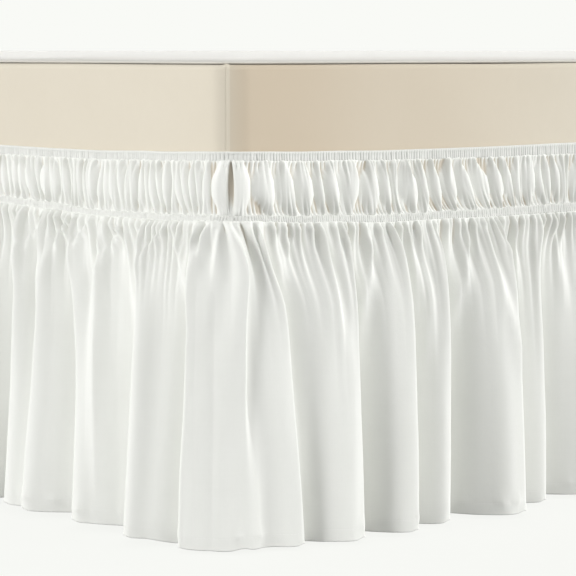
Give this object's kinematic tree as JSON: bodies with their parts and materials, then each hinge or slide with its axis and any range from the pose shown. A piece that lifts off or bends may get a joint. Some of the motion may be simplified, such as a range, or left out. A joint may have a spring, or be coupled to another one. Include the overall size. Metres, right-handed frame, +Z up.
{
  "type": "bed skirt on bed base",
  "caption": "White gathered bed skirt with an elastic top and ruffled heading, wrapped round a plain upholstered bed base and hanging in deep soft folds to the floor.",
  "frame": {"origin": "middle of the bed base's footprint, on the floor", "axes": "+Z up; +Y along the length towards the head end; the foot end faces -Y"},
  "size_m": [1.6644, 2.1508, 0.5125],
  "materials": {
    "white_cloth": "soft matt plain weave microfibre",
    "white_elastic": "matt cloth shirred over elastic",
    "beige_upholstery": "matt plain beige cover cloth",
    "pale_top_cloth": "matt pale cover cloth"
  },
  "bodies": {
    "root": {"bed_base": "beige_upholstery", "top_panel": "pale_top_cloth", "elastic_casing": "white_elastic", "elastic_line": "white_elastic", "heading_foot_right": "white_cloth", "heading_head_right": "white_cloth", "heading_head_left": "white_cloth", "heading_foot_left": "white_cloth", "drop_foot_right": "white_cloth", "drop_head_right": "white_cloth", "drop_head_left": "white_cloth", "drop_foot_left": "white_cloth"}
  },
  "joints": []
}
